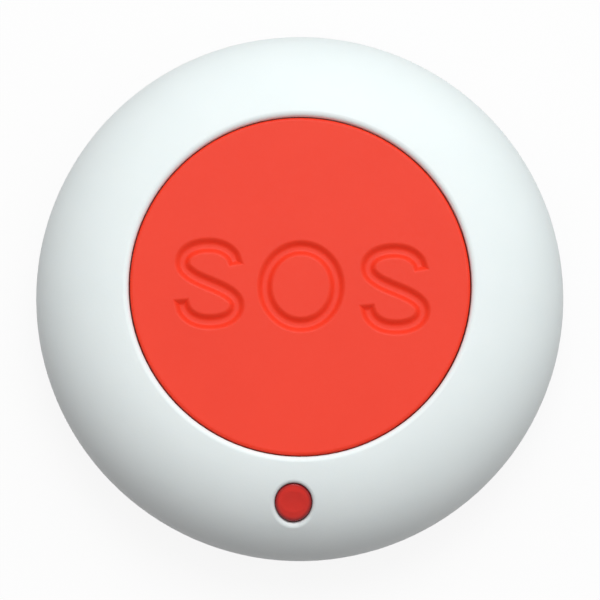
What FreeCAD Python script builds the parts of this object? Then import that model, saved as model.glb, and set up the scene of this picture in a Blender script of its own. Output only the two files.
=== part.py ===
import FreeCAD, Part
import math
import os

from FreeCAD import Vector

# A wireless panic button: a round two-part housing with one large push cap in its ring, an
# indicator window below the cap, and a coin cell behind a door that turns with a coin.
# All sizes are in millimetres. The flat back lies on z = 0, +Z runs out through the cap,
# and the indicator window is on the -Y side.

# Outer form of the housing, a pebble whose dome rises from the side up to the well
body_diameter = 56.0
widest_height = 5.8
dome_height = 15.8
dome_reach = 12.0
back_edge_reach = 2.6
parting_height = 4.4
seam_gap = 0.12
wall = 1.8

# Well that guides the cap, set in from the outside by the width of the ring
ring_width = 10.28
well_wall = 1.5
well_depth = 5.2
well_edge_radius = 0.5

# Push cap
cap_gap = 0.12
cap_drop = 0.3
cap_thickness = 1.6
cap_edge_radius = 0.35
cap_skirt = 1.4
cap_travel = 0.6
flange_reach = 1.3
flange_thickness = 1.0
flange_play = 0.03
cap_rib_count = 8
cap_rib_thickness = 1.0
cap_rib_height = 1.4
cap_post_diameter = 3.6

# Keys that stop the cap from turning
key_count = 3
key_width = 1.8
key_reach = 0.9
key_gap = 0.2
key_below_flange = 0.7

# Stiffening ribs between the well and the outer wall
stiffener_count = 12
stiffener_thickness = 0.9
stiffener_clearance = 0.6

# Screws that join the two shells, and the bosses they run in
screw_count = 3
screw_first_angle = 90.0
screw_diameter = 2.0
screw_length = 8.0
screw_head_diameter = 3.8
screw_head_thickness = 1.2
screw_recess_diameter = 4.4
screw_recess_depth = 1.4
screw_drive_width = 0.6
screw_drive_depth = 0.6
screw_drive_share = 0.6
screw_edge_share = 0.5
screw_point_share = 0.2
screw_clearance = 0.15
thread_clearance = 0.03
pilot_spare = 0.5
boss_diameter = 4.4
boss_lip_gap = 0.2
column_diameter = 5.6
boss_seat_height = 4.2

# Two small screws that hold the board on its posts
board_screw_angles = (30.0, 150.0)
board_post_diameter = 3.6
board_post_lip_gap = 0.8
board_screw_diameter = 1.6
board_screw_length = 4.0
board_screw_head_diameter = 2.8
board_screw_head_thickness = 0.9

# Back cover
floor_thickness = 1.8
lip_height = 2.0
lip_gap = 0.1
lip_thickness = 1.5
seal_section = 0.9
seal_squeeze_gap = 0.04
seal_height_in_lip = 1.0
support_post_diameter = 3.0

# Battery door, a bayonet turned with a coin, built outwards from the cell
door_gap = 0.1
door_recess = 0.2
door_plate = 1.3
door_edge_radius = 0.3
door_rim = 0.5
door_swing = 40.0
hub_cell_gap = 0.5
hub_wall = 1.4
hub_height = 2.0
hub_gap = 0.2
ledge_thickness = 0.7
ledge_play = 0.05
lug_count = 3
lug_width_angle = 24.0
lug_reach = 1.0
lug_thickness = 0.9
lug_gap = 0.1
notch_extra_angle = 4.0
collar_width = 1.3
coin_slot_length = 15.0
coin_slot_width = 1.8
coin_slot_depth = 0.7
door_seal_section = 0.52
door_seal_land = 0.1
mark_diameter = 0.9
mark_depth = 0.3
mark_inset = 1.4
mark_angle = 270.0

# Coin cell, its holder and its two springs
cell_diameter = 20.0
cell_thickness = 3.2
cell_step = 0.6
cell_edge_radius = 0.25
cell_cap_diameter = 17.6
cell_seat_gap = 0.3
cell_pad_diameter = 1.6
cell_pad_inset = 3.0
contact_space = 1.1
holder_gap = 0.15
holder_wall = 1.85
holder_peg_diameter = 1.2
holder_peg_angles = (90.0, 270.0)
clip_thickness = 0.2
clip_width = 4.0
clip_touch_gap = 0.02
clip_slot_margin = 0.6
clip_foot_reach = 1.0
leaf_root = 8.6
leaf_foot_length = 3.4
leaf_pad_length = 1.6
leaf_tip_length = 1.4
leaf_tip_rise = 0.45
side_spring_bend = 0.7
side_spring_pad = 0.4
side_spring_tip = 0.5

# Circuit board
board_lip_gap = 0.4
board_thickness = 1.0
board_boss_gap = 0.35
hole_clearance = 0.05

# Push switch at the middle of the board
switch_side = 6.0
switch_base_height = 3.1
switch_cover_thickness = 0.3
switch_tab_width = 3.0
switch_tab_drop = 1.5
plunger_diameter = 3.5
plunger_reach = 1.4
plunger_flange_diameter = 4.4
plunger_flange_thickness = 0.6
plunger_clearance = 0.05
plunger_edge = 0.2
post_gap = 0.05
terminal_width = 0.7
terminal_thickness = 0.2
terminal_rise = 1.0
terminal_reach = 1.2
terminal_spacing = 4.5

# Return spring round the switch
spring_diameter = 12.0
spring_wire = 0.6
spring_turns = 4.5
spring_end_gap = 0.02
spring_guide_gap = 0.4
spring_guide_wall = 0.8
spring_guide_height = 1.6

# Indicator window, its light guide and the lamp below it
lens_from_well = 4.58
lens_diameter = 3.8
lens_gap = 0.05
lens_recess = 0.25
lens_dish_radius = 10.0
lens_dish_depth = 0.12
lens_flange_diameter = 4.6
lens_flange_thickness = 1.0
lens_land = 1.1
lens_stem_diameter = 3.2
lens_pocket_wall = 0.9
lens_edge_radius = 0.22
lens_bore_edge = 0.4
lamp_length = 2.0
lamp_width = 1.3
lamp_height = 0.8
lamp_base_height = 0.35
lamp_dome_length = 1.2
lamp_gap = 0.3

# Aerial, a bent wire standing on the board
aerial_skirt_gap = 2.0
aerial_wire_diameter = 0.8
aerial_height = 2.6
aerial_bend_radius = 1.2
aerial_start_angle = 20.0
aerial_end_angle = 160.0

# Chips and small components
controller_place = (-9.5, -6.5)
controller_length = 5.0
controller_width = 3.9
controller_height = 1.5
controller_pin_count = 4
controller_pin_pitch = 1.27
controller_pin_reach = 1.0
controller_pin_width = 0.4
controller_pin_thickness = 0.2
controller_pin_rise = 0.8
controller_stand_off = 0.1
controller_edge = 0.25
radio_place = (9.0, -5.0)
radio_side = 4.0
radio_height = 0.9
radio_mark_inset = 0.9
radio_mark_diameter = 0.6
radio_mark_depth = 0.1
chip_corner = 0.3
crystal_skirt_gap = 2.1
crystal_aside = 0.5
crystal_length = 10.0
crystal_width = 4.4
crystal_height = 3.2
crystal_rim = 0.3
crystal_rim_thickness = 0.4
crystal_edge = 0.5
component_length = 1.6
component_width = 0.8
component_height = 0.55
component_board_inset = 5.7
component_angles = (186.0, 194.0, 202.0, 222.0, 230.0, 306.0, 314.0, 338.0, 346.0, 354.0)

# How far a cutting tool runs past the face that it opens, and how near counts as the same place
past = 1.0
near = 0.001

# Radii that follow from the sizes above
body_radius = body_diameter / 2
inner_radius = body_radius - wall
back_flat_radius = body_radius - back_edge_reach
well_radius = body_radius - ring_width
dome_centre = body_radius - dome_reach
well_outer_radius = well_radius + well_wall
cap_radius = well_radius - cap_gap
flange_radius = well_radius + flange_reach
lip_outer_radius = inner_radius - lip_gap
lip_inner_radius = lip_outer_radius - lip_thickness
screw_circle = lip_inner_radius - boss_lip_gap - boss_diameter / 2
board_screw_circle = lip_inner_radius - board_post_lip_gap - board_post_diameter / 2
board_radius = lip_inner_radius - board_lip_gap
lens_from_axis = well_radius + lens_from_well
cell_radius = cell_diameter / 2
hub_radius = cell_radius + hub_cell_gap + hub_wall
ledge_radius = hub_radius + hub_gap
lug_radius = hub_radius + lug_reach
door_seal_half = door_seal_section / 2 + seal_squeeze_gap
door_seal_radius = lug_radius + lug_gap + door_seal_land + door_seal_half
door_radius = door_seal_radius + door_seal_half + door_rim
holder_inner_radius = cell_radius + holder_gap
holder_outer_radius = holder_inner_radius + holder_wall


def dome_level(radius):
    """Height of the dome's surface at a distance from the axis."""
    share = (radius - dome_centre) / dome_reach
    return widest_height + (dome_height - widest_height) * math.sqrt(1 - share ** 2)


# Heights that follow from the sizes above, from the back to the cap
door_inner = door_recess + door_plate
ledge_bottom = door_inner + ledge_play
ledge_top = ledge_bottom + ledge_thickness
hub_top = door_inner + hub_height
cell_bottom = door_inner + cell_seat_gap
cell_top = cell_bottom + cell_thickness
board_bottom = cell_top + contact_space
board_top = board_bottom + board_thickness
plunger_top = board_top + switch_base_height + switch_cover_thickness + plunger_reach
rim_height = dome_level(well_radius)
well_bottom = rim_height - well_depth
cap_top = rim_height - cap_drop
cap_underside = cap_top - cap_thickness
flange_top = well_bottom - flange_play
flange_bottom = flange_top - flange_thickness
inner_top = dome_height - wall
lip_top = parting_height + lip_height
lens_flange_top = dome_level(lens_from_axis + lens_diameter / 2) - lens_land
holder_bottom = hub_top + hub_gap
above_all = dome_height + past

# Angles at which like features repeat
screw_angles = [screw_first_angle + 360.0 / screw_count * i for i in range(screw_count)]
key_angles = [360.0 / key_count * i for i in range(key_count)]
lug_angles = [360.0 / lug_count * i for i in range(lug_count)]


def disc(radius, bottom, top, x=0.0, y=0.0):
    """Upright cylinder between two heights."""
    return Part.makeCylinder(radius, top - bottom, Vector(x, y, bottom))


def ring(inner, outer, bottom, top):
    """Plain ring about the axis between two heights."""
    return disc(outer, bottom, top).cut(disc(inner, bottom, top))


def block(length, width, bottom, top, x=0.0, y=0.0):
    """Upright block centred on x and y."""
    corner = Vector(x - length / 2, y - width / 2, bottom)
    return Part.makeBox(length, width, top - bottom, corner)


def at_angle(shape, degrees):
    """Copy of a shape turned about the axis."""
    turned = shape.copy()
    turned.rotate(Vector(0, 0, 0), Vector(0, 0, 1), degrees)
    return turned


def around(shape, angles):
    """Copies of a shape at several angles about the axis."""
    return [at_angle(shape, angle) for angle in angles]


def sector(inner, outer, bottom, top, width_angle, middle_angle):
    """Stretch of a ring that is a given angle wide."""
    wedge = Part.makeCylinder(outer, top - bottom, Vector(0, 0, bottom), Vector(0, 0, 1), width_angle)
    return at_angle(wedge.cut(disc(inner, bottom, top)), middle_angle - width_angle / 2)


def line(from_r, from_z, to_r, to_z):
    """Straight edge of a section, given as radius and height."""
    return Part.makeLine(Vector(from_r, 0, from_z), Vector(to_r, 0, to_z))


def quarter_ellipse(centre_r, centre_z, reach_r, reach_z):
    """Quarter of an ellipse in the section plane, from its side point to its top or bottom."""
    centre = Vector(centre_r, 0, centre_z)
    side = Vector(centre_r + reach_r, 0, centre_z)
    tip = Vector(centre_r, 0, centre_z + reach_z)
    long_end, short_end = (tip, side) if abs(reach_z) > abs(reach_r) else (side, tip)
    ellipse = Part.Ellipse(long_end, short_end, centre)
    return Part.ArcOfEllipse(ellipse, 0, math.pi / 2).toShape()


def revolved(edges):
    """Solid turned from a closed section that touches the axis."""
    section = Part.Face(Part.Wire(Part.__sortEdges__(edges)))
    return section.revolve(Vector(0, 0, 0), Vector(0, 0, 1), 360)


def edges_on_circle(shape, radius, low, high):
    """Level edges that lie at one distance from the axis, between two heights."""
    found = []
    for edge in shape.Edges:
        points = edge.discretize(5)
        level = max(point.z for point in points) - min(point.z for point in points) < near
        on_circle = all(abs(math.hypot(point.x, point.y) - radius) < near for point in points)
        if level and on_circle and low - near <= points[0].z <= high + near:
            found.append(edge)
    return found


def pebble():
    """Whole outer form of the housing, before it is parted and the well is opened."""
    return revolved([
        line(0, 0, back_flat_radius, 0),
        quarter_ellipse(back_flat_radius, widest_height, back_edge_reach, -widest_height),
        quarter_ellipse(dome_centre, widest_height, dome_reach, dome_height - widest_height),
        line(dome_centre, dome_height, 0, dome_height),
        line(0, dome_height, 0, 0),
    ])


def front_room():
    """Hollow behind the front shell, an even wall inside its dome and clear of the well's wall."""
    room = revolved([
        line(0, 0, inner_radius, 0),
        line(inner_radius, 0, inner_radius, widest_height),
        quarter_ellipse(dome_centre, widest_height, inner_radius - dome_centre,
                        inner_top - widest_height),
        line(dome_centre, inner_top, 0, inner_top),
        line(0, inner_top, 0, 0),
    ])
    return room.cut(disc(well_outer_radius, well_bottom, above_all))


def screw_bosses():
    """Bosses of the front shell that take the three housing screws."""
    boss = disc(boss_diameter / 2, boss_seat_height, above_all, screw_circle)
    return around(boss, screw_angles)


def board_posts():
    """Posts of the front shell that the board is screwed against."""
    post = disc(board_post_diameter / 2, board_top, above_all, board_screw_circle)
    return around(post, board_screw_angles)


def cap_keys():
    """Keys below the well that run in the notches of the cap's flange."""
    inner_end = flange_radius - key_reach + key_gap
    outer_end = flange_radius + key_reach
    key = block(outer_end - inner_end, key_width, flange_bottom - cap_travel - key_below_flange,
                above_all, (inner_end + outer_end) / 2)
    return around(key, key_angles)


def stiffeners():
    """Thin radial ribs between the well wall and the outer wall."""
    length = inner_radius - well_radius
    rib = block(length, stiffener_thickness, well_bottom + stiffener_clearance, above_all,
                well_radius + length / 2)
    step = 360.0 / stiffener_count
    return around(rib, [step * (i + 0.5) for i in range(stiffener_count)])


def lens_pocket():
    """Sleeve in the front shell round the indicator's light guide."""
    return disc(lens_flange_diameter / 2 + lens_pocket_wall, well_bottom + flange_play, above_all,
                0, -lens_from_axis)


def front_housing():
    """Moulded front shell: dome, cap well, bosses, posts, keys and lens sleeve."""
    kept = screw_bosses() + board_posts() + cap_keys() + stiffeners() + [lens_pocket()]
    below = disc(body_radius + past, -past, parting_height + seam_gap)
    shell = pebble().cut([below, front_room().cut(kept)])
    shell = shell.cut(disc(well_radius, 0, above_all))
    shell = shell.makeFillet(well_edge_radius,
                             edges_on_circle(shell, well_radius, well_bottom + past, above_all))

    pilot_radius = screw_diameter / 2 + thread_clearance
    pilot_top = screw_recess_depth + screw_length + pilot_spare
    pilot = disc(pilot_radius, 0, pilot_top, screw_circle)
    board_pilot_radius = board_screw_diameter / 2 + thread_clearance
    board_pilot_top = board_bottom + board_screw_length + pilot_spare
    board_pilot = disc(board_pilot_radius, 0, board_pilot_top, board_screw_circle)
    bore = disc(lens_diameter / 2 + lens_gap, 0, above_all, 0, -lens_from_axis)
    seat = disc(lens_flange_diameter / 2 + lens_gap, 0, lens_flange_top + lens_gap, 0, -lens_from_axis)
    holes = around(pilot, screw_angles) + around(board_pilot, board_screw_angles) + [bore, seat]
    shell = shell.cut(holes)
    return shell.makeFillet(lens_bore_edge, window_edges(shell, lens_diameter / 2 + lens_gap))


def window_edges(shape, radius):
    """Upper edges of a round form about the window's axis, where it meets the dome."""
    found = []
    for edge in shape.Edges:
        middle = edge.valueAt((edge.FirstParameter + edge.LastParameter) / 2)
        from_form = math.hypot(middle.x, middle.y + lens_from_axis) - radius
        high = edge.BoundBox.ZMin > lens_flange_top + lens_gap + near
        if abs(from_form) < near and high and edge.BoundBox.XLength > near:
            found.append(edge)
    return found


def back_cover():
    """Moulded back shell with the lip, the screw columns and the bayonet ring of the door."""
    cover = pebble().common(disc(body_radius + past, -past, parting_height))
    cover = cover.fuse(ring(lip_inner_radius, lip_outer_radius, floor_thickness, lip_top))
    cover = cover.cut(disc(lip_inner_radius, floor_thickness, lip_top + past))

    column = disc(column_diameter / 2, floor_thickness / 2, boss_seat_height, screw_circle)
    collar = disc(door_radius + door_gap + collar_width, floor_thickness / 2, ledge_top)
    support = disc(support_post_diameter / 2, floor_thickness / 2, board_bottom, 0, -lens_from_axis)
    cover = cover.fuse(around(column, screw_angles) + [collar, support])

    groove_floor = lip_outer_radius + lip_gap - seal_section - 2 * seal_squeeze_gap
    groove_low = parting_height + seal_height_in_lip - seal_section / 2
    groove = ring(groove_floor, body_radius, groove_low - seal_squeeze_gap,
                  groove_low + seal_section + seal_squeeze_gap)
    shank_hole = disc(screw_diameter / 2 + screw_clearance, -past, boss_seat_height + past, screw_circle)
    head_hole = disc(screw_recess_diameter / 2, -past, screw_recess_depth, screw_circle)
    door_hole = disc(door_radius + door_gap, -past, ledge_bottom)
    hub_hole = disc(ledge_radius, -past, ledge_top + past)
    notch = sector(hub_radius - past, lug_radius + lug_gap, door_recess, ledge_top + past,
                   lug_width_angle + notch_extra_angle, door_swing)
    mark = disc(mark_diameter / 2, -past, mark_depth, door_radius + mark_inset)
    cuts = [groove, door_hole, hub_hole] + around(notch, lug_angles)
    cuts += around(shank_hole, screw_angles) + around(head_hole, screw_angles)
    cuts += around(mark, (mark_angle, mark_angle + door_swing))
    return cover.cut(cuts)


def housing_seal():
    """Rubber ring in the groove of the back cover's lip."""
    middle_radius = inner_radius - seal_squeeze_gap - seal_section / 2
    return Part.makeTorus(middle_radius, seal_section / 2,
                          Vector(0, 0, parting_height + seal_height_in_lip))


def cross_screw(head_diameter, head_thickness, shank_diameter, length, seat):
    """Pan-head screw with a cross recess, its head facing down below the seat height."""
    head = disc(head_diameter / 2, seat - head_thickness, seat)
    head_face = seat - head_thickness
    head = head.makeFillet(head_thickness * screw_edge_share,
                           edges_on_circle(head, head_diameter / 2, head_face, head_face))
    shank = disc(shank_diameter / 2, seat, seat + length)
    shank = shank.makeChamfer(shank_diameter * screw_point_share,
                              edges_on_circle(shank, shank_diameter / 2, seat + length, seat + length))
    drive_length = head_diameter * screw_drive_share
    drive_bottom = head_face - past
    drive_top = head_face + screw_drive_depth * head_diameter / screw_head_diameter
    bars = [block(drive_length, screw_drive_width, drive_bottom, drive_top),
            block(screw_drive_width, drive_length, drive_bottom, drive_top)]
    return head.fuse(shank).cut(bars)


def screws_at(screw, circle_radius, angles):
    """One screw repeated on a circle, as separate solids."""
    screw.translate(Vector(circle_radius, 0, 0))
    return Part.makeCompound(around(screw, angles))


def housing_screws():
    """Three screws that close the housing from the back."""
    screw = cross_screw(screw_head_diameter, screw_head_thickness, screw_diameter, screw_length,
                        screw_recess_depth)
    return screws_at(screw, screw_circle, screw_angles)


def board_screws():
    """Two small screws under the board."""
    screw = cross_screw(board_screw_head_diameter, board_screw_head_thickness, board_screw_diameter,
                        board_screw_length, board_bottom)
    return screws_at(screw, board_screw_circle, board_screw_angles)


def button_cap():
    """Push cap: flat top with a rounded edge, skirt, ribs, switch post and retaining flange."""
    cap = disc(cap_radius, flange_bottom, cap_top)
    cap = cap.makeFillet(cap_edge_radius, edges_on_circle(cap, cap_radius, cap_top, cap_top))
    cap = cap.fuse(disc(flange_radius, flange_bottom, flange_top))
    inside = disc(cap_radius - cap_skirt, flange_bottom - past, cap_underside)

    guide_inner = (spring_diameter + spring_wire) / 2 + spring_guide_gap
    guide_outer = guide_inner + spring_guide_wall
    guide = ring(guide_inner, guide_outer, cap_underside - spring_guide_height, cap_underside)
    rib_length = cap_radius - cap_skirt / 2 - guide_inner - spring_guide_wall / 2
    rib = block(rib_length, cap_rib_thickness, cap_underside - cap_rib_height, cap_underside,
                guide_inner + spring_guide_wall / 2 + rib_length / 2)
    step = 360.0 / cap_rib_count
    ribs = around(rib, [step * (i + 0.5) for i in range(cap_rib_count)])
    post = disc(cap_post_diameter / 2, plunger_top + post_gap, cap_underside)
    inside = inside.cut([guide, post] + ribs)

    notch_depth = key_reach + past
    notch = block(notch_depth, key_width + 2 * key_gap, flange_bottom - past, flange_top + past,
                  flange_radius - key_reach + notch_depth / 2)
    skirt = disc(cap_radius, flange_bottom - past, flange_top + past)
    return cap.cut([inside] + [shape.cut(skirt) for shape in around(notch, key_angles)])


def return_spring():
    """Coil spring that lifts the cap, standing on the board round the switch."""
    bottom = board_top + spring_end_gap + spring_wire / 2
    rise = cap_underside - spring_end_gap - spring_wire / 2 - bottom
    pitch = rise / spring_turns
    path = Part.makeLongHelix(pitch, rise, spring_diameter / 2)
    path.translate(Vector(0, 0, bottom))
    start = Vector(spring_diameter / 2, 0, bottom)
    along = Vector(0, math.pi * spring_diameter, pitch)
    section = Part.Wire(Part.makeCircle(spring_wire / 2, start, along))
    return Part.Wire(path.Edges).makePipeShell([section], True, True)


def lens_dish():
    """Ball that dishes the window's face, square to the dome at the window's middle."""
    higher = dome_level(lens_from_axis - near)
    lower = dome_level(lens_from_axis + near)
    outwards = Vector(0, lower - higher, 2 * near).normalize()
    face = Vector(0, -lens_from_axis, dome_level(lens_from_axis) - lens_recess)
    return Part.makeSphere(lens_dish_radius, face + outwards * (lens_dish_radius - lens_dish_depth))


def indicator_lens():
    """Dark red window just below the dome's surface, with a dished face and its light guide."""
    x, y = 0, -lens_from_axis
    window = disc(lens_diameter / 2, lens_flange_top, above_all, x, y)
    sunk_dome = pebble()
    sunk_dome.translate(Vector(0, 0, -lens_recess))
    window = window.common(sunk_dome)
    window = window.makeFillet(lens_edge_radius, window_edges(window, lens_diameter / 2))
    window = window.cut(lens_dish())
    flange = disc(lens_flange_diameter / 2, lens_flange_top - lens_flange_thickness,
                  lens_flange_top, x, y)
    stem = disc(lens_stem_diameter / 2, board_top + lamp_height + lamp_gap, lens_flange_top, x, y)
    return window.fuse([flange, stem])


def indicator_led():
    """Small surface lamp under the light guide."""
    base_top = board_top + lamp_base_height
    base = block(lamp_length, lamp_width, board_top, base_top, 0, -lens_from_axis)
    dome = block(lamp_dome_length, lamp_width, base_top, board_top + lamp_height, 0, -lens_from_axis)
    return base.fuse(dome)


def circuit_board():
    """Round board, notched at the screw bosses and drilled for its screws and the holder's pegs."""
    low, high = board_bottom - past, board_top + past
    board = disc(board_radius, board_bottom, board_top)
    notch = disc(boss_diameter / 2 + board_boss_gap, low, high, screw_circle)
    mouth = block(boss_diameter, boss_diameter + 2 * board_boss_gap, low, high,
                  screw_circle + boss_diameter / 2)
    screw_hole = disc(board_screw_diameter / 2 + screw_clearance, low, high, board_screw_circle)
    peg_hole = disc(holder_peg_diameter / 2 + hole_clearance, low, high, holder_peg_radius())
    holes = around(notch, screw_angles) + around(mouth, screw_angles)
    holes += around(screw_hole, board_screw_angles) + around(peg_hole, holder_peg_angles)
    return board.cut(holes)


def switch_base():
    """Plastic base of the push switch, with the bore its plunger runs in."""
    top = board_top + switch_base_height
    base = block(switch_side, switch_side, board_top, top)
    bore_bottom = plunger_bottom() - cap_travel - 2 * plunger_clearance
    return base.cut(disc(plunger_flange_diameter / 2 + plunger_clearance, bore_bottom, top + past))


def plunger_bottom():
    """Height of the plunger's lower face, with its flange just under the switch's cover."""
    return board_top + switch_base_height - plunger_clearance - plunger_flange_thickness


def switch_plunger():
    """Plunger of the push switch, kept by a flange under the metal cover."""
    flange_top_z = plunger_bottom() + plunger_flange_thickness
    flange = disc(plunger_flange_diameter / 2, plunger_bottom(), flange_top_z)
    stem = disc(plunger_diameter / 2, flange_top_z, plunger_top)
    rim = edges_on_circle(stem, plunger_diameter / 2, plunger_top, plunger_top)
    stem = stem.makeFillet(plunger_edge, rim)
    return flange.fuse(stem)


def switch_cover():
    """Stamped metal cover of the push switch, with a tab folded down on each side."""
    low = board_top + switch_base_height
    top = low + switch_cover_thickness
    plate = block(switch_side + 2 * switch_cover_thickness, switch_side, low, top)
    tab_x = switch_side / 2 + switch_cover_thickness / 2
    tabs = [block(switch_cover_thickness, switch_tab_width, low - switch_tab_drop, low, side * tab_x)
            for side in (-1, 1)]
    return plate.fuse(tabs).cut(disc(plunger_diameter / 2 + plunger_clearance, low, top + past))


def switch_terminals():
    """Four soldered terminals of the push switch, as separate solids."""
    terminals = []
    for side_x in (-1, 1):
        for side_y in (-1, 1):
            x = side_x * terminal_spacing / 2
            foot = block(terminal_width, terminal_reach, board_top, board_top + terminal_thickness,
                         x, side_y * (switch_side + terminal_reach) / 2)
            riser = block(terminal_width, terminal_thickness, board_top, board_top + terminal_rise,
                          x, side_y * (switch_side + terminal_thickness) / 2)
            terminals.append(foot.fuse(riser))
    return Part.makeCompound(terminals)


def controller_chip():
    """Controller chip with a row of gull-wing pins on two sides."""
    x, y = controller_place
    top = board_top + controller_height
    body = block(controller_length, controller_width, board_top + controller_stand_off, top, x, y)
    body = body.makeChamfer(controller_edge, top_edges(body, top))
    pins = []
    for side in (-1, 1):
        foot_y = y + side * (controller_width + controller_pin_reach) / 2
        riser_y = y + side * (controller_width + controller_pin_thickness) / 2
        for i in range(controller_pin_count):
            pin_x = x + (i - (controller_pin_count - 1) / 2) * controller_pin_pitch
            pins.append(block(controller_pin_width, controller_pin_reach, board_top,
                              board_top + controller_pin_thickness, pin_x, foot_y))
            pins.append(block(controller_pin_width, 2 * controller_pin_thickness, board_top,
                              board_top + controller_pin_rise, pin_x, riser_y))
    return body.fuse(pins)


def top_edges(shape, top):
    """Edges that lie in the top face of a shape."""
    return [edge for edge in shape.Edges if edge.BoundBox.ZMin > top - near]


def radio_chip():
    """Flat radio chip with its corner mark."""
    x, y = radio_place
    top = board_top + radio_height
    body = block(radio_side, radio_side, board_top, top, x, y)
    upright = [edge for edge in body.Edges if edge.BoundBox.ZLength > radio_height / 2]
    body = body.makeChamfer(chip_corner, upright)
    inset = radio_side / 2 - radio_mark_inset
    return body.cut(disc(radio_mark_diameter / 2, top - radio_mark_depth, top + past, x - inset, y + inset))


def long_round(length, width, bottom, top, x, y):
    """Upright block with fully rounded ends."""
    middle = block(length - width, width, bottom, top, x, y)
    ends = [disc(width / 2, bottom, top, x + side * (length - width) / 2, y) for side in (-1, 1)]
    return middle.fuse(ends).removeSplitter()


def crystal_can():
    """Drawn metal can of the crystal on its flat rim."""
    x = crystal_aside
    y = crystal_skirt_gap + crystal_rim + crystal_width / 2 + cap_skirt - cap_radius
    top = board_top + crystal_height
    rim = long_round(crystal_length + 2 * crystal_rim, crystal_width + 2 * crystal_rim, board_top,
                     board_top + crystal_rim_thickness, x, y)
    can = long_round(crystal_length, crystal_width, board_top, top, x, y)
    return rim.fuse(can.makeFillet(crystal_edge, top_edges(can, top)))


def chip_components():
    """Small resistors and capacitors round the board's edge, as separate solids."""
    radius = board_radius - component_board_inset
    piece = block(component_width, component_length, board_top, board_top + component_height, radius)
    return Part.makeCompound(around(piece, component_angles))


def aerial():
    """Wire aerial: an arc above the board with both ends bent down into it."""
    radius = cap_radius - cap_skirt - aerial_skirt_gap
    height = board_top + aerial_height
    first, last = math.radians(aerial_start_angle), math.radians(aerial_end_angle)
    ends = []
    for angle, outward in ((first, -1), (last, 1)):
        point = Vector(radius * math.cos(angle), radius * math.sin(angle), height)
        tangent = Vector(-math.sin(angle), math.cos(angle), 0) * outward
        ends.append((point, tangent))
    middle = Vector(radius * math.cos((first + last) / 2), radius * math.sin((first + last) / 2), height)
    arc = Part.Arc(ends[0][0], middle, ends[1][0]).toShape()
    bends = []
    legs = []
    drop = Vector(0, 0, aerial_bend_radius)
    for point, tangent in ends:
        half = point - drop + (drop + tangent * aerial_bend_radius) * math.sqrt(0.5)
        low = point - drop + tangent * aerial_bend_radius
        foot = Vector(low.x, low.y, board_top)
        bends.append(Part.Arc(point, half, low).toShape())
        legs.append(Part.makeLine(low, foot))
    path = Part.Wire(Part.__sortEdges__([legs[0], bends[0], arc, bends[1], legs[1]]))
    start = legs[0].Vertexes[1].Point
    section = Part.Wire(Part.makeCircle(aerial_wire_diameter / 2, start, Vector(0, 0, 1)))
    return path.makePipeShell([section], True, True)


def coin_cell():
    """Lithium coin cell: wide can towards the door, smaller cap towards the board."""
    can = disc(cell_radius, cell_bottom, cell_top - cell_step / 2)
    can = can.makeFillet(cell_edge_radius, edges_on_circle(can, cell_radius, cell_bottom, cell_top))
    return can.fuse(disc(cell_cap_diameter / 2, cell_top - cell_step, cell_top))


def holder_peg_radius():
    """Distance of the holder's pegs from the axis, at the middle of its wall."""
    return (holder_inner_radius + holder_outer_radius) / 2


def battery_holder():
    """Moulded ring under the board that centres the cell, slotted for the side spring."""
    body = ring(holder_inner_radius, holder_outer_radius, holder_bottom, board_bottom)
    slot = block(holder_outer_radius, clip_width + 2 * clip_slot_margin, holder_bottom - past,
                 board_bottom + past, holder_outer_radius)
    peg = disc(holder_peg_diameter / 2, (holder_bottom + board_bottom) / 2, board_top, holder_peg_radius())
    return body.cut(slot).fuse(around(peg, holder_peg_angles))


def bent_strip(points, width):
    """Sheet-metal strip of even thickness bent along a line in the x-z plane."""
    centre_line = Part.makePolygon([Vector(x, -width / 2, z) for x, z in points])
    section = centre_line.makeOffset2D(clip_thickness, 2, True, True, False)
    return section.extrude(Vector(0, width, 0))


def battery_clip_negative():
    """Leaf spring under the board that presses on the middle of the cell."""
    foot = board_bottom - clip_thickness
    touch = cell_top + clip_touch_gap
    return bent_strip([(-leaf_root, foot), (leaf_foot_length - leaf_root, foot),
                       (-leaf_pad_length / 2, touch), (leaf_pad_length / 2, touch),
                       (leaf_pad_length / 2 + leaf_tip_length, touch + leaf_tip_rise)], clip_width)


def battery_clip_positive():
    """Side spring under the board that presses on the rim of the cell's can."""
    foot = board_bottom - clip_thickness
    touch = cell_radius + clip_touch_gap
    pad_low = holder_bottom + side_spring_tip
    return bent_strip([(holder_outer_radius + clip_foot_reach, foot), (touch + side_spring_bend, foot),
                       (touch, pad_low + side_spring_pad), (touch, pad_low),
                       (touch + side_spring_tip, holder_bottom + clip_thickness)], clip_width)


def battery_door():
    """Round door with a coin slot, a hub round the cell and three bayonet lugs."""
    plate = disc(door_radius, door_recess, door_inner)
    plate = plate.makeFillet(door_edge_radius, edges_on_circle(plate, door_radius, 0, door_recess))
    hub = ring(hub_radius - hub_wall, hub_radius, door_recess + coin_slot_depth, hub_top)
    lug_bottom = ledge_top + ledge_play
    lug = sector(hub_radius - hub_wall / 2, lug_radius, lug_bottom, lug_bottom + lug_thickness,
                 lug_width_angle, 0)
    pad = disc(cell_pad_diameter / 2, door_recess + coin_slot_depth, cell_bottom - ledge_play,
               cell_radius - cell_pad_inset)
    door = plate.fuse([hub] + around(lug, lug_angles) + around(pad, lug_angles))

    groove = ring(door_seal_radius - door_seal_half, door_seal_radius + door_seal_half,
                  ledge_bottom - 2 * door_seal_half, door_inner)
    slot = long_round(coin_slot_length, coin_slot_width, door_recess - past,
                      door_recess + coin_slot_depth, 0, 0)
    mark = disc(mark_diameter / 2, -past, door_recess + mark_depth, door_radius - mark_inset)
    return door.cut([groove, slot, at_angle(mark, mark_angle)])


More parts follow.
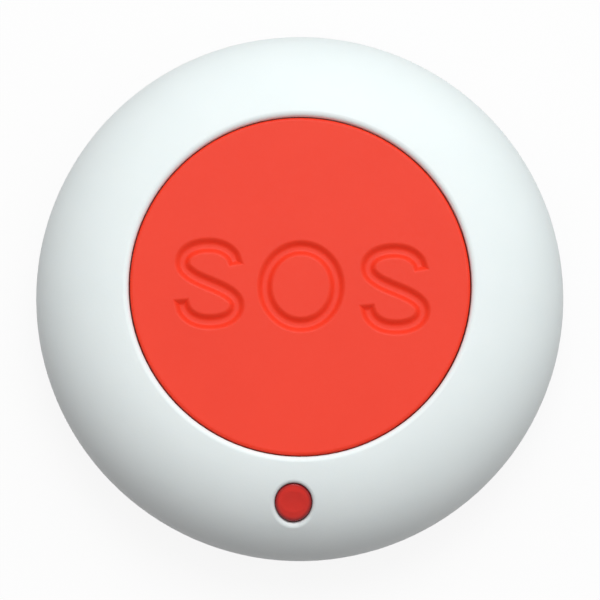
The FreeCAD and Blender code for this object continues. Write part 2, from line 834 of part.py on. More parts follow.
def door_seal():
    """Rubber ring between the door's plate and the ledge of the back cover."""
    middle = ledge_bottom - seal_squeeze_gap / 2 - door_seal_section / 2
    return Part.makeTorus(door_seal_radius, door_seal_section / 2, Vector(0, 0, middle))


nodes = {
    "front_housing": front_housing,
    "back_cover": back_cover,
    "housing_seal": housing_seal,
    "housing_screws": housing_screws,
    "button_cap": button_cap,
    "return_spring": return_spring,
    "indicator_lens": indicator_lens,
    "indicator_led": indicator_led,
    "circuit_board": circuit_board,
    "board_screws": board_screws,
    "switch_base": switch_base,
    "switch_cover": switch_cover,
    "switch_plunger": switch_plunger,
    "switch_terminals": switch_terminals,
    "controller_chip": controller_chip,
    "radio_chip": radio_chip,
    "crystal_can": crystal_can,
    "chip_components": chip_components,
    "aerial": aerial,
    "coin_cell": coin_cell,
    "battery_holder": battery_holder,
    "battery_clip_negative": battery_clip_negative,
    "battery_clip_positive": battery_clip_positive,
    "battery_door": battery_door,
    "door_seal": door_seal,
}

os.makedirs("parts", exist_ok=True)
for name, make in nodes.items():
    make().exportStep("parts/" + name + ".step")
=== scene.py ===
import math

import bmesh
import bpy
from mathutils import Matrix, Vector


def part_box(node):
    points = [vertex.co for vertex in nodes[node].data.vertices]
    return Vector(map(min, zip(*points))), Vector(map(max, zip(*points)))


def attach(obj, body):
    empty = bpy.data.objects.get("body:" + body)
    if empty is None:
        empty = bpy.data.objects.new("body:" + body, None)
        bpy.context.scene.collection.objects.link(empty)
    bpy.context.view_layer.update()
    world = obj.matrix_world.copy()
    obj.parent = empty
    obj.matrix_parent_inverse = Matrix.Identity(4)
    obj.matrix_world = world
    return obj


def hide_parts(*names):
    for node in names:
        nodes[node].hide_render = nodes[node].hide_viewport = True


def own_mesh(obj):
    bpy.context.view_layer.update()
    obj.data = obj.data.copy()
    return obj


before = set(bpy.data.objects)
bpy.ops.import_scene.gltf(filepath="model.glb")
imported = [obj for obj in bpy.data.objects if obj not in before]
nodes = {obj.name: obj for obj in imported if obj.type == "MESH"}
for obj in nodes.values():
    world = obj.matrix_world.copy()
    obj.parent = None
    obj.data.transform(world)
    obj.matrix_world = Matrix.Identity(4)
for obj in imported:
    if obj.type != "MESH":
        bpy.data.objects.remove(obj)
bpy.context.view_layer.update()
mm = 0.001

# Front shell: one injection moulding in white ABS, a dome that climbs from the side to the cap's
# well. Its mould is spark-eroded, so the surface is an even satin with a very fine grain, and the
# white leans a little towards blue.


def linear(code):
    """Colour of a surface from its sRGB hex code, as the shader takes it."""
    colour = []
    for i in (0, 2, 4):
        share = int(code[i:i + 2], 16) / 255
        colour.append(share / 12.92 if share <= 0.04045 else ((share + 0.055) / 1.055) ** 2.4)
    return colour + [1.0]


def add_node(material, kind, inputs=None, **settings):
    """Adds one node to a material, with its settings, its values and its links."""
    tree = material.node_tree
    node = tree.nodes.new(kind)
    for name, value in settings.items():
        setattr(node, name, value)
    for name, value in (inputs or {}).items():
        socket = node.inputs[name]
        if isinstance(value, bpy.types.NodeSocket):
            tree.links.new(value, socket)
        else:
            socket.default_value = value
    return node


def new_material(name):
    """Material without nodes, and the point on the object that its patterns follow."""
    material = bpy.data.materials.new(name)
    material.use_nodes = True
    material.node_tree.nodes.clear()
    return material, add_node(material, "ShaderNodeTexCoord").outputs["Object"]


def noise(material, place, size, detail):
    """Soft noise with patches of a size in mm."""
    values = {"Vector": place, "Scale": 1 / (size * mm), "Detail": detail}
    return add_node(material, "ShaderNodeTexNoise", values).outputs[0]


def blend(material, share, first, second):
    """One colour at share 0 and another at share 1, each a hex code or a socket."""
    colours = [linear(colour) if isinstance(colour, str) else colour for colour in (first, second)]
    node = add_node(material, "ShaderNodeMix", {0: share, 6: colours[0], 7: colours[1]}, data_type="RGBA")
    return node.outputs[2]


def remap(material, value, low, high, start=0.0, end=1.0, **settings):
    """Takes a value that runs from start to end to one that runs from low to high."""
    values = {"Value": value, "From Min": start, "From Max": end, "To Min": low, "To Max": high}
    return add_node(material, "ShaderNodeMapRange", values, **settings).outputs[0]


def uneven(material, grit, roughness, spread):
    """Roughness that follows a noise, most of which lies between 0.3 and 0.7."""
    return remap(material, grit, roughness - spread, roughness + spread, 0.3, 0.7)


def raised(material, height, relief, **settings):
    """Surface relief that follows a value, with its depth in mm."""
    values = {"Height": height, "Distance": relief * mm}
    return add_node(material, "ShaderNodeBump", values, **settings).outputs[0]


def translucent(share, depth, colour):
    """Shader values of a plastic that takes light in to a depth in mm."""
    return {"Subsurface Weight": share, "Subsurface Scale": depth * mm, "Subsurface Radius": colour}


def close_material(material, inputs):
    """Gives a material its one shader and its output."""
    shader = add_node(material, "ShaderNodeBsdfPrincipled", inputs)
    add_node(material, "ShaderNodeOutputMaterial", {"Surface": shader.outputs["BSDF"]})
    return material


def moulded(name, colour, shade, roughness, grain, relief, constants):
    """Moulded plastic: a faint cloud in the colour, and the grain of the mould in mm."""
    material, place = new_material(name)
    body = blend(material, noise(material, place, 6, 2.0), colour, shade)
    grit = noise(material, place, grain, 3.0)
    return close_material(material, {
        "Base Color": body, "Roughness": uneven(material, grit, roughness, 0.04),
        "Normal": raised(material, grit, relief), **constants})


def dress(name, finish):
    """Gives a carried-over node its finish."""
    for slot in nodes[name].material_slots:
        slot.material = finish


white_abs = moulded("moulded_white_abs", "eff7f7", "eaf3f3", 0.46, grain=0.25, relief=0.006, constants={
    "IOR": 1.53, "Specular IOR Level": 0.3, **translucent(0.12, 0.8, (1.0, 0.9, 0.8))})
dress("front_housing", white_abs)

# Indicator window: one clear red polycarbonate moulding, its dished face and the light guide
# behind it. It is polished. Its colour is painted darker towards its rim as painted shade, for
# where the light guide's wall turns away and the shell shades it.
window_low, window_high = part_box("indicator_lens")
window_middle = (window_low + window_high) / 2
rim_shade_inner_radius = 1.45 * mm
rim_shade_outer_radius = 1.9 * mm


def plan_distance(material, place, middle):
    """Distance from the upright line through a point."""
    flat = add_node(material, "ShaderNodeMapping", {
        "Vector": place, "Scale": (1.0, 1.0, 0.0), "Location": (-middle.x, -middle.y, 0.0)})
    reach = add_node(material, "ShaderNodeVectorMath", {0: flat.outputs[0]}, operation="LENGTH")
    return reach.outputs["Value"]


def window_red():
    """Polished red polycarbonate, with shade painted into its colour towards its rim."""
    material, place = new_material("polished_red_polycarbonate")
    # Painted shade: the colour darkens to 8a0f18 from the face out to the rim, where the shell shades the
    # window.
    rim = remap(material, plan_distance(material, place, window_middle), 0.0, 1.0, rim_shade_inner_radius,
                rim_shade_outer_radius, interpolation_type="SMOOTHSTEP")
    face = blend(material, noise(material, place, 1.2, 1.0), "e92a1c", "dc2214")
    return close_material(material, {
        "Base Color": blend(material, rim, face, "8a0f18"), "Roughness": 0.2, "IOR": 1.585,
        "Specular IOR Level": 0.25, **translucent(0.3, 1.0, (1.0, 0.2, 0.1))})


dress("indicator_lens", window_red())

# Push cap: moulded in orange-red ABS with a matt face and a rounded edge. Its three letters are
# the plain distress call. They are soft grooves left by raised letters in the mould, deepest at
# the middle of the stroke, with rounded lips and square ends.
stroke_width = 1.84 * mm
groove_reach = 0.76 * mm
groove_depth = 0.46 * mm
groove_steps = 12
flat_margin = 0.03 * mm
rim_margin = 0.05 * mm
end_length = 1.0 * mm
merge_distance = 1e-7
flat_normal = 0.9999

# Places on the cap in mm. Each knot has its handle before, the knot and its handle after.
letter_centres = ((-9.37, -0.14), (0.08, -0.12), (9.82, -0.10))
oval_half_width, oval_half_height = 3.73, 4.0
circle_handle = 0.5523
bend_knots = (((2.88, 1.40), (2.78, 1.85), (2.55, 3.10)),
              ((1.55, 3.98), (0.00, 3.98), (-1.65, 3.98)),
              ((-2.87, 3.30), (-2.87, 2.18), (-2.87, 1.10)),
              ((-1.35, 0.50), (0.00, 0.00), (1.35, -0.50)),
              ((2.90, -1.10), (2.90, -2.18), (2.90, -3.30)),
              ((1.65, -3.98), (0.00, -3.98), (-1.60, -3.98)),
              ((-2.75, -3.20), (-2.95, -1.55), (-3.00, -1.10)))


def oval_knots():
    """Closed centre line of the round letter."""
    right = ((1, -circle_handle), (1, 0), (1, circle_handle))
    top = ((circle_handle, 1), (0, 1), (-circle_handle, 1))
    knots = [right, top] + [tuple((-x, -y) for x, y in knot) for knot in (right, top)]
    return [tuple((x * oval_half_width, y * oval_half_height) for x, y in knot) for knot in knots]


def merged_copy(name):
    """Editable copy of a node's mesh, its loose triangles joined."""
    mesh = bmesh.new()
    mesh.from_mesh(nodes[name].data)
    bmesh.ops.remove_doubles(mesh, verts=mesh.verts, dist=merge_distance)
    return mesh


def add_piece(name, mesh, finishes, body, sharp_angle=35.0):
    """Turns an edited mesh into a piece that rides on a body, smooth up to an angle in degrees."""
    data = bpy.data.meshes.new(name)
    for face in mesh.faces:
        face.smooth = True
    mesh.to_mesh(data)
    mesh.free()
    if "custom_normal" in data.attributes:
        data.attributes.remove(data.attributes["custom_normal"])
    data.set_sharp_from_angle(angle=math.radians(sharp_angle))
    data.materials.clear()
    for finish in finishes:
        data.materials.append(finish)
    piece = bpy.data.objects.new(name, data)
    bpy.context.scene.collection.objects.link(piece)
    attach(piece, body)
    return piece


def letter_ribbons(height):
    """Flat ribbons along the centre lines of the three letters."""
    line = bpy.data.curves.new("letter_lines", "CURVE")
    line.dimensions = "3D"
    line.twist_mode = "Z_UP"
    line.extrude = stroke_width / 2
    line.resolution_u = 16
    outlines = (bend_knots, oval_knots(), bend_knots)
    for knots, closed, (x, y) in zip(outlines, (False, True, False), letter_centres):
        spline = line.splines.new("BEZIER")
        spline.bezier_points.add(len(knots) - 1)
        spline.use_cyclic_u = closed
        for point, (before, at, after) in zip(spline.bezier_points, knots):
            point.handle_left_type = "FREE"
            point.handle_right_type = "FREE"
            point.co = ((at[0] + x) * mm, (at[1] + y) * mm, height)
            point.handle_left = ((before[0] + x) * mm, (before[1] + y) * mm, height)
            point.handle_right = ((after[0] + x) * mm, (after[1] + y) * mm, height)
            point.tilt = math.pi / 2
    holder = bpy.data.objects.new("letter_lines", line)
    bpy.context.scene.collection.objects.link(holder)
    bpy.context.view_layer.update()
    ribbons = bpy.data.meshes.new_from_object(holder.evaluated_get(bpy.context.evaluated_depsgraph_get()))
    bpy.data.objects.remove(holder)
    return ribbons


def clear_ends(mesh, faces, others):
    """Joins the first cells of each open ribbon, so that its square end can be set in."""
    for x, y in (letter_centres[0], letter_centres[2]):
        for _, at, _ in (bend_knots[0], bend_knots[-1]):
            end = Vector((x + at[0], y + at[1], 0)) * mm
            near = []
            for edge in {edge for face in faces for edge in face.edges}:
                middle = (edge.verts[0].co + edge.verts[1].co) / 2
                away = math.hypot(middle.x - end.x, middle.y - end.y)
                if merge_distance < away < end_length and not edge.is_boundary:
                    near.append(edge)
            sides = {vert for edge in near for vert in edge.verts}
            bmesh.ops.dissolve_edges(mesh, edges=near)
            bmesh.ops.dissolve_verts(mesh, verts=list(sides))
            faces = [face for face in mesh.faces if face not in others]
    return faces


def push_cap():
    """The cap's node with the three letters pressed into its face."""
    cap = merged_copy("button_cap")
    face_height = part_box("button_cap")[1].z
    flat = [face for face in cap.faces
            if face.normal.z > flat_normal and face.calc_center_median().z > face_height - merge_distance]
    bmesh.ops.delete(cap, geom=flat, context="FACES")

    rim = [edge for edge in cap.edges if edge.is_boundary]
    grown = bmesh.ops.extrude_edge_only(cap, edges=rim)["geom"]
    inner = [item for item in grown if isinstance(item, bmesh.types.BMVert)]
    rim_radius = max(math.hypot(vert.co.x, vert.co.y) for vert in inner)
    shrink = 1 - rim_margin / rim_radius
    bmesh.ops.scale(cap, vec=(shrink, shrink, 1), verts=inner)

    before = set(cap.faces)
    cap.from_mesh(letter_ribbons(face_height))
    bmesh.ops.remove_doubles(cap, verts=cap.verts, dist=merge_distance)
    cap.normal_update()
    letters = clear_ends(cap, [face for face in cap.faces if face not in before], before)
    openings = [edge for edge in cap.edges if edge.is_boundary]
    bmesh.ops.triangle_fill(cap, edges=openings, use_beauty=True, normal=(0, 0, 1))

    bmesh.ops.inset_region(cap, faces=letters, thickness=flat_margin, use_even_offset=True)
    step_reach = groove_reach / groove_steps
    sunk = 0.0
    for step in range(1, groove_steps + 1):
        bmesh.ops.inset_region(cap, faces=letters, thickness=step_reach, use_even_offset=True)
        depth = groove_depth * (1 - math.cos(math.pi * step / groove_steps)) / 2
        floor = list({vert for face in letters for vert in face.verts})
        bmesh.ops.translate(cap, vec=(0, 0, sunk - depth), verts=floor)
        sunk = depth
    return cap


red_abs = moulded("moulded_red_abs", "f33818", "ee3414", 0.5, grain=0.3, relief=0.008, constants={
    "IOR": 1.53, "Specular IOR Level": 0.35, **translucent(0.1, 0.6, (1.0, 0.25, 0.15))})
cap_piece = add_piece("push_cap", push_cap(), [red_abs], "button", sharp_angle=30.0)
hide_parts("button_cap")

# Return spring: a coil of drawn stainless wire that stands on the board round the switch and
# lifts the cap, which squeezes it towards its foot. Drawn wire is bright, with fine lines along
# its length.


def stretched(material, place, scale):
    """The place on the object with its three directions scaled, so that noise becomes lines."""
    return add_node(material, "ShaderNodeMapping", {"Vector": place, "Scale": scale}).outputs[0]


def metal(name, colour, dull, roughness, grain, stretch=(1.0, 1.0, 1.0), relief=0.002, coat=None):
    """Metal: dull patches in the colour, and the marks of drawing or rolling in mm."""
    material, place = new_material(name)
    marks = noise(material, stretched(material, place, stretch), grain, 4.0)
    body = blend(material, noise(material, place, 2.5, 3.0), colour, dull)
    return close_material(material, {
        "Base Color": body, "Roughness": uneven(material, marks, roughness, 0.08),
        "Normal": raised(material, marks, relief), "Metallic": 1.0, **(coat or {})})


coil_low, coil_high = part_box("return_spring")
coil_wire = 0.6 * mm
coil_turns = 4.5
coil_steps = 40
wire_sides = 14


def spring_coil():
    """Round wire wound up from the board to the cap, its ends cut square."""
    radius = coil_high.x - coil_wire / 2
    rise = coil_high.z - coil_low.z - coil_wire
    start = Matrix.Translation((radius, 0, coil_low.z + coil_wire / 2))
    upright = Matrix.Rotation(math.radians(90), 4, "X")
    coil = bmesh.new()
    bmesh.ops.create_circle(coil, segments=wire_sides, radius=coil_wire / 2, matrix=start @ upright)
    steps = round(coil_turns * coil_steps)
    bmesh.ops.spin(coil, geom=coil.verts[:] + coil.edges[:], cent=(0, 0, 0), axis=(0, 0, 1), steps=steps,
                   dvec=(0, 0, rise / steps), angle=2 * math.pi * coil_turns, use_merge=False)
    bmesh.ops.holes_fill(coil, edges=[edge for edge in coil.edges if edge.is_boundary], sides=wire_sides)
    bmesh.ops.recalc_face_normals(coil, faces=coil.faces)
    return coil


drawn_wire = metal("drawn_stainless_wire", "c9c8c4", "a9a8a4", 0.24, grain=0.08, stretch=(0.2, 0.2, 1.0))
spring_piece = add_piece("return_coil", spring_coil(), [drawn_wire], "housing")
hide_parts("return_spring")
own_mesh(spring_piece)

# Circuit board: 1 mm glass-filled laminate under green solder mask, screwed to posts of the front
# shell. Over copper the mask is paler, the gaps between tracks show dark, and the plated holes are
# tinned. The routed edge shows the tan laminate.
board_low, board_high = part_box("circuit_board")
mask_thickness = 0.04 * mm
track_length, track_pitch, track_gap = 2.6 * mm, 0.62 * mm, 0.13 * mm
track_turn = math.radians(45)
via_spacing, via_radius = 3.4 * mm, 0.22 * mm
pour_share = 0.5


def compute(material, operation, *values):
    """Result of one operation on numbers or sockets."""
    return add_node(material, "ShaderNodeMath", dict(enumerate(values)), operation=operation).outputs[0]


def height_of(material, place):
    """Height above the object's back."""
    return add_node(material, "ShaderNodeSeparateXYZ", {"Vector": place}).outputs["Z"]


def solder_mask():
    """Solder mask over tracks and plated holes, with bare laminate at the edge."""
    material, place = new_material("green_solder_mask")
    turned = add_node(material, "ShaderNodeMapping", {
        "Vector": place, "Rotation": (0.0, 0.0, track_turn)})
    tracks = add_node(material, "ShaderNodeTexBrick", {
        "Vector": turned.outputs[0], "Scale": 1.0, "Brick Width": track_length, "Row Height": track_pitch,
        "Mortar Size": track_gap / 2, "Mortar Smooth": 0.2, "Bias": 0.0, "Color1": linear("1d7a46"),
        "Color2": linear("1a7441"), "Mortar": linear("0d4a2a")})
    pour = compute(material, "GREATER_THAN", noise(material, place, 7, 0.0), pour_share)
    copper = blend(material, pour, tracks.outputs["Color"], "1e7f49")
    holes = add_node(material, "ShaderNodeTexVoronoi", {"Vector": place, "Scale": 1 / via_spacing},
                     voronoi_dimensions="2D")
    via = compute(material, "LESS_THAN", holes.outputs["Distance"], via_radius / via_spacing)
    core = compute(material, "COMPARE", height_of(material, place), (board_low.z + board_high.z) / 2,
                   (board_high.z - board_low.z) / 2 - mask_thickness)
    face = blend(material, via, copper, "c6c7c2")
    return close_material(material, {
        "Base Color": blend(material, core, face, "a89a62"), "Metallic": via,
        "Roughness": remap(material, core, 0.28, 0.7),
        "Normal": raised(material, tracks.outputs["Fac"], 0.02, invert=True)})


dress("circuit_board", solder_mask())

# Indicator lamp: a surface lamp soldered under the light guide. Its foot is white moulded plastic,
# and its block of clear resin looks like wet glass.
lamp_foot_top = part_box("indicator_led")[0].z + 0.36 * mm
lamp_clearness = 0.5


def lamp_resin():
    """White foot below, clear resin above."""
    material, place = new_material("clear_resin_on_white_foot")
    clear = compute(material, "GREATER_THAN", height_of(material, place), lamp_foot_top)
    resin = blend(material, noise(material, place, 0.3, 2.0), "f6efdc", "efe4c4")
    return close_material(material, {
        "Base Color": blend(material, clear, "ecebe6", resin), "IOR": 1.53,
        "Roughness": remap(material, clear, 0.5, 0.08),
        "Transmission Weight": compute(material, "MULTIPLY", clear, lamp_clearness)})


dress("indicator_led", lamp_resin())

# Push switch base: a 6 mm square moulding in black glass-filled nylon. The glass leaves the
# surface dull and faintly mottled.
black_nylon = moulded("moulded_black_nylon", "1b1c1e", "232426", 0.55, grain=0.12, relief=0.008,
                      constants={"IOR": 1.53})
dress("switch_base", black_nylon)

# Push switch plunger: a round pin moulded in black acetal, which slides well. It is smoother and
# glossier than the base.
black_acetal = moulded("moulded_black_acetal", "151517", "1b1b1d", 0.3, grain=0.3, relief=0.003,
                       constants={"IOR": 1.48})
dress("switch_plunger", black_acetal)

# Push switch cover: stamped from rolled stainless sheet and folded over the base. It is bright,
# with straight rolling lines.
rolled_sheet = metal("rolled_stainless_sheet", "cfcecb", "bcbbb8", 0.26, grain=0.06,
                     stretch=(0.05, 1.0, 1.0))
dress("switch_cover", rolled_sheet)

# Push switch terminals: four brass legs, tin-plated so that they take solder. Tin is pale and
# soft-looking, with a dull sheen.
tin_plate = metal("tin_plated_brass", "c8c7c0", "b2b1aa", 0.38, grain=0.1, relief=0.004)
dress("switch_terminals", tin_plate)

# Controller chip: a block of black moulded epoxy with tin-plated legs on two sides. The epoxy is
# matt like slate, and a small smooth dot marks its first leg.
controller_low, controller_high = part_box("controller_chip")
controller_middle = (controller_low + controller_high) / 2
controller_half_width = 1.96 * mm
controller_dot = Vector((-1.75, -1.2, 0.0)) * mm
leg_thickness = 0.21 * mm
dot_radius = 0.28 * mm


def chip_epoxy(name, middle, half_width, solder_top, dot):
    """Black epoxy with a smooth dot, and tin plate beyond its sides and at its foot."""
    material, place = new_material(name)
    grit = noise(material, place, 0.07, 3.0)
    epoxy = blend(material, grit, "1f1f20", "2b2b2b")
    split = add_node(material, "ShaderNodeSeparateXYZ", {"Vector": place})
    between = compute(material, "COMPARE", split.outputs["Y"], middle.y, half_width)
    above = compute(material, "GREATER_THAN", split.outputs["Z"], solder_top)
    inside = compute(material, "MULTIPLY", between, above)
    matt = compute(material, "GREATER_THAN", plan_distance(material, place, middle + dot), dot_radius)
    return close_material(material, {
        "Base Color": blend(material, inside, "c4c3bc", epoxy),
        "Metallic": compute(material, "SUBTRACT", 1.0, inside),
        "Roughness": remap(material, matt, 0.3, 0.6), "Normal": raised(material, grit, 0.006)})


dress("controller_chip", chip_epoxy("moulded_epoxy_with_legs", controller_middle, controller_half_width,
                                    board_high.z + leg_thickness, controller_dot))

# Radio chip: a flat leadless block of the same epoxy, with bevelled corners and a pressed mark.
# Solder rises a little way up its foot.
radio_low, radio_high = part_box("radio_chip")
radio_mark = Vector((-1.1, 1.1, 0.0)) * mm
dress("radio_chip", chip_epoxy("moulded_epoxy_leadless", (radio_low + radio_high) / 2,
                               radio_high.y - radio_low.y, board_high.z + leg_thickness / 2, radio_mark))

# Crystal: a can drawn from thin steel, tinned and welded to its rim. The tin is bright, and the
# drawing left fine upright lines on its wall.
tinned_can = metal("drawn_tinned_can", "d2d1cc", "bdbcb6", 0.22, grain=0.08, stretch=(1.0, 1.0, 0.08))
dress("crystal_can", tinned_can)

# Chip components: ten capacitors and resistors soldered on tinned pads round the edge of the
# board. Each is a small block of fired ceramic with tinned end caps.
component_radius = 18.5 * mm
component_angles = (186.0, 194.0, 202.0, 222.0, 230.0, 306.0, 314.0, 338.0, 346.0, 354.0)
component_length, component_width = 1.6 * mm, 0.8 * mm
end_cap_length = 0.3 * mm
cap_margin = 0.02 * mm
cap_bevel = 0.06 * mm
pad_margin = 0.15 * mm
pad_thickness = 0.03 * mm


def add_block(mesh, size, place, turn, material_index, bevel):
    """One block on the board with rounded edges: its size, its middle and its turn."""
    matrix = Matrix.Rotation(turn, 4, "Z") @ Matrix.Translation(place) @ Matrix.Diagonal((*size, 1))
    verts = bmesh.ops.create_cube(mesh, size=1.0, matrix=matrix)["verts"]
    for face in {face for vert in verts for face in vert.link_faces}:
        face.material_index = material_index
    edges = list({edge for vert in verts for edge in vert.link_edges})
    bmesh.ops.bevel(mesh, geom=edges, offset=bevel, segments=2, profile=0.5, affect="EDGES", material=-1)


def chip_parts():
    """The ten components with their end caps and pads."""
    parts = bmesh.new()
    low, high = (corner.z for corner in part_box("chip_components"))
    middle, pad_middle = (low + high) / 2, low + pad_thickness / 2
    end_place = (component_length - end_cap_length) / 2
    body = (component_width - 2 * cap_margin, 2 * end_place, high - low - 2 * cap_margin)
    end_cap = (component_width, end_cap_length, high - low)
    pad = (component_width + 2 * pad_margin, end_cap_length + 2 * pad_margin, pad_thickness)
    for angle in component_angles:
        turn = math.radians(angle)
        add_block(parts, body, (component_radius, 0, middle), turn, 0, cap_bevel / 2)
        for end in (-end_place, end_place):
            add_block(parts, end_cap, (component_radius, end, middle), turn, 1, cap_bevel)
            add_block(parts, pad, (component_radius, end, pad_middle), turn, 1, pad_thickness / 4)
    return parts


fired_ceramic = moulded("fired_ceramic", "b09472", "9c8263", 0.6, grain=0.06, relief=0.003,
                        constants={"IOR": 1.6})
chip_finishes = [fired_ceramic, tin_plate]
chip_piece = add_piece("chip_parts", chip_parts(), chip_finishes, "housing")
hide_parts("chip_components")

# Aerial: one bent arc of enamelled copper wire, soldered into the board at both ends. The enamel
# is a clear brown coat over bright copper.
dress("aerial", metal("enamelled_copper", "c47a50", "b06a44", 0.3, grain=0.3, coat={
    "Coat Weight": 0.7, "Coat Roughness": 0.12}))

# Battery holder: a ring moulded in black nylon, pegged into the board. It centres the cell.
dress("battery_holder", black_nylon)

# Negative spring: a leaf stamped from stainless strip, soldered under the board. It presses on
# the cell's cap. Rolling leaves bright lines along the strip.
spring_strip = metal("rolled_spring_strip", "c6c3b8", "b0ada2", 0.28, grain=0.05,
                     stretch=(0.05, 1.0, 1.0))
dress("battery_clip_negative", spring_strip)

# Positive spring: a bent leaf of the same strip, which presses on the rim of the cell's can.
dress("battery_clip_positive", spring_strip)

# Board screws: two small pan-head screws from below, in zinc-plated steel. The plating is a cool
# grey with a soft shine and a faint cloud.
zinc_plate = metal("zinc_plated_steel", "bcc0c2", "9fa4a8", 0.33, grain=0.1, relief=0.003)
board_screw_circle, board_screw_angles = 22.0 * mm, (30.0, 150.0)
board_screw_radius, board_screw_seat, board_screw_length = 0.8 * mm, 6.1 * mm, 4.0 * mm
board_screw_pitch = 0.6 * mm
core_share = 0.76
root_share = 0.97 * core_share
shank_reach = 1.01
thread_steps = 24


def add_thread(screws, axis, radius, low, high, pitch):
    """One ridge wound round a screw's core from a low to a high place."""
    root = radius * root_share
    half = pitch / 3
    corners = [(root, low), (radius, low + half), (root, low + 2 * half)]
    profile = [screws.verts.new((axis.x + reach, axis.y, height)) for reach, height in corners]
    sides = [screws.edges.new((profile[i - 1], profile[i])) for i in range(3)]
    turns = (high - low - 2 * half) / pitch
    steps = round(turns * thread_steps)
    spun = bmesh.ops.spin(screws, geom=profile + sides, cent=axis, axis=(0, 0, 1),
                          dvec=(0, 0, turns * pitch / steps), angle=2 * math.pi * turns, steps=steps,
                          use_merge=False)["geom_last"]
    last = [item for item in spun if isinstance(item, bmesh.types.BMEdge)]
    bmesh.ops.holes_fill(screws, edges=sides + last, sides=3)


def threaded(name, circle, angles, radius, seat, length, pitch):
    """A node's screws with their shanks taken down to the core and a thread wound round each."""
    screws = merged_copy(name)
    for angle in angles:
        turn = math.radians(angle)
        axis = Vector((circle * math.cos(turn), circle * math.sin(turn), 0))
        shank = [vert for vert in screws.verts if vert.co.z > seat - merge_distance
                 and (vert.co.xy - axis.xy).length < radius * shank_reach]
        bmesh.ops.scale(screws, vec=(core_share, core_share, 1), space=Matrix.Translation(-axis),
                        verts=shank)
        add_thread(screws, axis, radius, seat + pitch / 2, seat + length - pitch / 2, pitch)
    bmesh.ops.recalc_face_normals(screws, faces=screws.faces)
    return screws


board_screw_mesh = threaded("board_screws", board_screw_circle, board_screw_angles, board_screw_radius,
                            board_screw_seat, board_screw_length, board_screw_pitch)
board_screw_piece = add_piece("threaded_board_screws", board_screw_mesh, [zinc_plate], "housing")
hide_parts("board_screws")

# Housing seal: a moulded ring of black EPDM rubber in the groove of the back cover's lip. It is
# deep black and almost without shine, with a little talc on it.
epdm = moulded("moulded_epdm_rubber", "1a1a1b", "29292a", 0.78, grain=0.2, relief=0.01,
               constants={"IOR": 1.5})
dress("housing_seal", epdm)

# Back cover: moulded in the same white ABS, held by three screws. Its mould is etched a little
# coarser than the front's, so the back is flatter and duller.
back_abs = moulded("moulded_white_abs_etched", "ecf1f3", "e5ebee", 0.55, grain=0.4, relief=0.014,
                   constants={"IOR": 1.53, **translucent(0.12, 0.8, (1.0, 0.9, 0.8))})
dress("back_cover", back_abs)

# Housing screws: three self-tapping pan-head screws, zinc-plated like the small ones, sunk in
# their holes in the back.
screw_circle, screw_angles = 22.2 * mm, (90.0, 210.0, 330.0)
screw_radius, screw_seat, screw_length = 1.0 * mm, 1.4 * mm, 8.0 * mm
screw_pitch = 0.8 * mm
screw_mesh = threaded("housing_screws", screw_circle, screw_angles, screw_radius, screw_seat,
                      screw_length, screw_pitch)
screw_piece = add_piece("threaded_housing_screws", screw_mesh, [zinc_plate], "housing")
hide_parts("housing_screws")

# Coin cell: a drawn steel can with nickel plate, crimped over a dark plastic gasket round its
# cap. The faces are brushed in one direction.
gasket_inner, gasket_outer = 8.75 * mm, 9.25 * mm
cell_cap_bottom = 4.38 * mm


def cell_steel():
    """Brushed nickel plate with the dark ring of the gasket between can and cap."""
    material, place = new_material("nickel_plated_can")
    lines = noise(material, stretched(material, place, (0.04, 1.0, 1.0)), 0.05, 3.0)
    steel = blend(material, lines, "cbc9c4", "b9b7b1")
    reach = plan_distance(material, place, Vector((0, 0, 0)))
    band = compute(material, "COMPARE", reach, (gasket_inner + gasket_outer) / 2,
                   (gasket_outer - gasket_inner) / 2)
    upper = compute(material, "GREATER_THAN", height_of(material, place), cell_cap_bottom)
    gasket = compute(material, "MULTIPLY", band, upper)
    return close_material(material, {
        "Base Color": blend(material, gasket, steel, "2a2a2c"),
        "Metallic": compute(material, "SUBTRACT", 1.0, gasket),
        "Roughness": uneven(material, lines, 0.26, 0.08), "Normal": raised(material, lines, 0.002)})


dress("coin_cell", cell_steel())

# Battery door: a moulded bayonet cover in the same etched white ABS, turned with a coin. Its
# slot and its dot were made by the mould.
dress("battery_door", back_abs)

# Door seal: a thin ring of the same EPDM rubber between the door's plate and its ledge.
dress("door_seal", epdm)

# Studio: a plain pale floor, one wide soft light beyond the object, and a room that is brightest
# overhead and beyond the object. The floor shows white and keeps the object's shadow. It is open
# under the flat back and clear from below, so that the underside can be lit and looked at.
floor_radius = 3.0
floor_opening = 24.0 * mm
floor_white_share = 0.88
floor_mesh = bmesh.new()
bmesh.ops.create_circle(floor_mesh, segments=128, radius=floor_opening)
grown = bmesh.ops.extrude_edge_only(floor_mesh, edges=list(floor_mesh.edges))["geom"]
rim = [item for item in grown if isinstance(item, bmesh.types.BMVert)]
floor_growth = floor_radius / floor_opening
bmesh.ops.scale(floor_mesh, vec=(floor_growth, floor_growth, 1), verts=rim)
bmesh.ops.recalc_face_normals(floor_mesh, faces=floor_mesh.faces)
if floor_mesh.faces[:][0].normal.z < 0:
    bmesh.ops.reverse_faces(floor_mesh, faces=floor_mesh.faces)
floor_data = bpy.data.meshes.new("floor")
floor_mesh.to_mesh(floor_data)
floor_mesh.free()
floor = bpy.data.objects.new("floor", floor_data)
bpy.context.scene.collection.objects.link(floor)


def background_ray(material):
    """1 for the rays that show the background: the camera's, and those in gloss and in glass."""
    path = add_node(material, "ShaderNodeLightPath")
    gloss = compute(material, "MAXIMUM", path.outputs["Is Camera Ray"], path.outputs["Is Glossy Ray"])
    return compute(material, "MAXIMUM", gloss, path.outputs["Is Transmission Ray"])


def mix_light(material, share, first, second):
    """One shader at share 0 and another at share 1."""
    lights = {0: share, 1: first.outputs[0], 2: second.outputs[0]}
    return add_node(material, "ShaderNodeMixShader", lights)


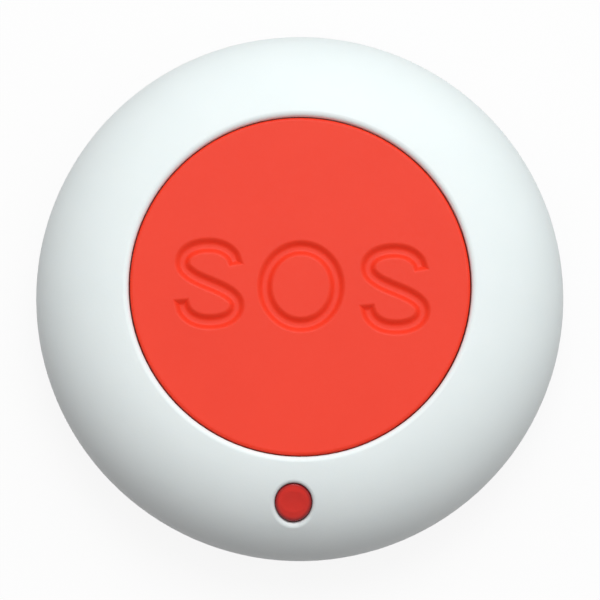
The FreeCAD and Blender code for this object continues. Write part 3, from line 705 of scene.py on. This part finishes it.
def floor_finish():
    """Matt sheet that shows white, throws little light back, and is clear from below."""
    material = new_material("pale_floor")[0]
    dim = add_node(material, "ShaderNodeBsdfDiffuse", {"Color": linear("5c5a5a")})
    sheet = add_node(material, "ShaderNodeBsdfDiffuse", {"Color": linear("f2f2f2")})
    white = add_node(material, "ShaderNodeEmission", {"Strength": 1.0})
    shown = mix_light(material, floor_white_share, sheet, white)
    above = mix_light(material, background_ray(material), dim, shown)
    clear = add_node(material, "ShaderNodeBsdfTransparent")
    side = add_node(material, "ShaderNodeNewGeometry")
    mixed = mix_light(material, side.outputs["Backfacing"], above, clear)
    add_node(material, "ShaderNodeOutputMaterial", {"Surface": mixed.outputs[0]})
    return material


floor_data.materials.append(floor_finish())

room_level = 0.395
room_slope = (0.15, 0.43, 0.47)
room_darkest, room_below = 0.06, 0.8
room_dark_tint, room_bright_tint = (1.0, 0.86, 0.86, 1.0), (0.97, 1.0, 1.0, 1.0)
room = bpy.data.worlds.new("room")
room.use_nodes = True
room.node_tree.nodes.clear()
bpy.context.scene.world = room
towards = add_node(room, "ShaderNodeTexCoord").outputs["Generated"]
rise = add_node(room, "ShaderNodeVectorMath", {0: towards, 1: room_slope}, operation="DOT_PRODUCT")
level = compute(room, "ADD", rise.outputs["Value"], room_level)
above = compute(room, "MAXIMUM", level, room_darkest)
under = compute(room, "LESS_THAN", height_of(room, towards), 0.0)
strength = add_node(room, "ShaderNodeMix", {0: under, 2: above, 3: room_below})
tint = blend(room, above, room_dark_tint, room_bright_tint)
light = add_node(room, "ShaderNodeBackground", {"Color": tint, "Strength": strength.outputs[0]})
white = add_node(room, "ShaderNodeBackground", {"Strength": 1.0, "Color": (1, 1, 1, 1)})
shown = mix_light(room, background_ray(room), light, white)
add_node(room, "ShaderNodeOutputWorld", {"Surface": shown.outputs[0]})

lamp_data = bpy.data.lights.new("soft_light", "AREA")
lamp_data.size = 0.6
lamp_data.energy = 5.15
lamp = bpy.data.objects.new("soft_light", lamp_data)
bpy.context.scene.collection.objects.link(lamp)
lamp.location = (0.08, 0.60, 1.04)
lamp.rotation_euler = (-lamp.location).to_track_quat("-Z", "Y").to_euler()

# Camera: square on to the cap but for a small tilt, with the object turned a little clockwise.
tilt, roll, away = math.radians(7.32), math.radians(1.775), 0.320
look = Vector((0.000028, -0.000593, 0.008))
camera_data = bpy.data.cameras.new("camera")
camera_data.lens = 181.8
camera_data.clip_start = 0.01
camera = bpy.data.objects.new("camera", camera_data)
bpy.context.scene.collection.objects.link(camera)
camera.location = look + Vector((0, -math.sin(tilt), math.cos(tilt))) * away
camera.rotation_euler = (Matrix.Rotation(tilt, 4, "X") @ Matrix.Rotation(roll, 4, "Z")).to_euler()
bpy.context.scene.camera = camera
bpy.context.scene.view_settings.view_transform = "Standard"
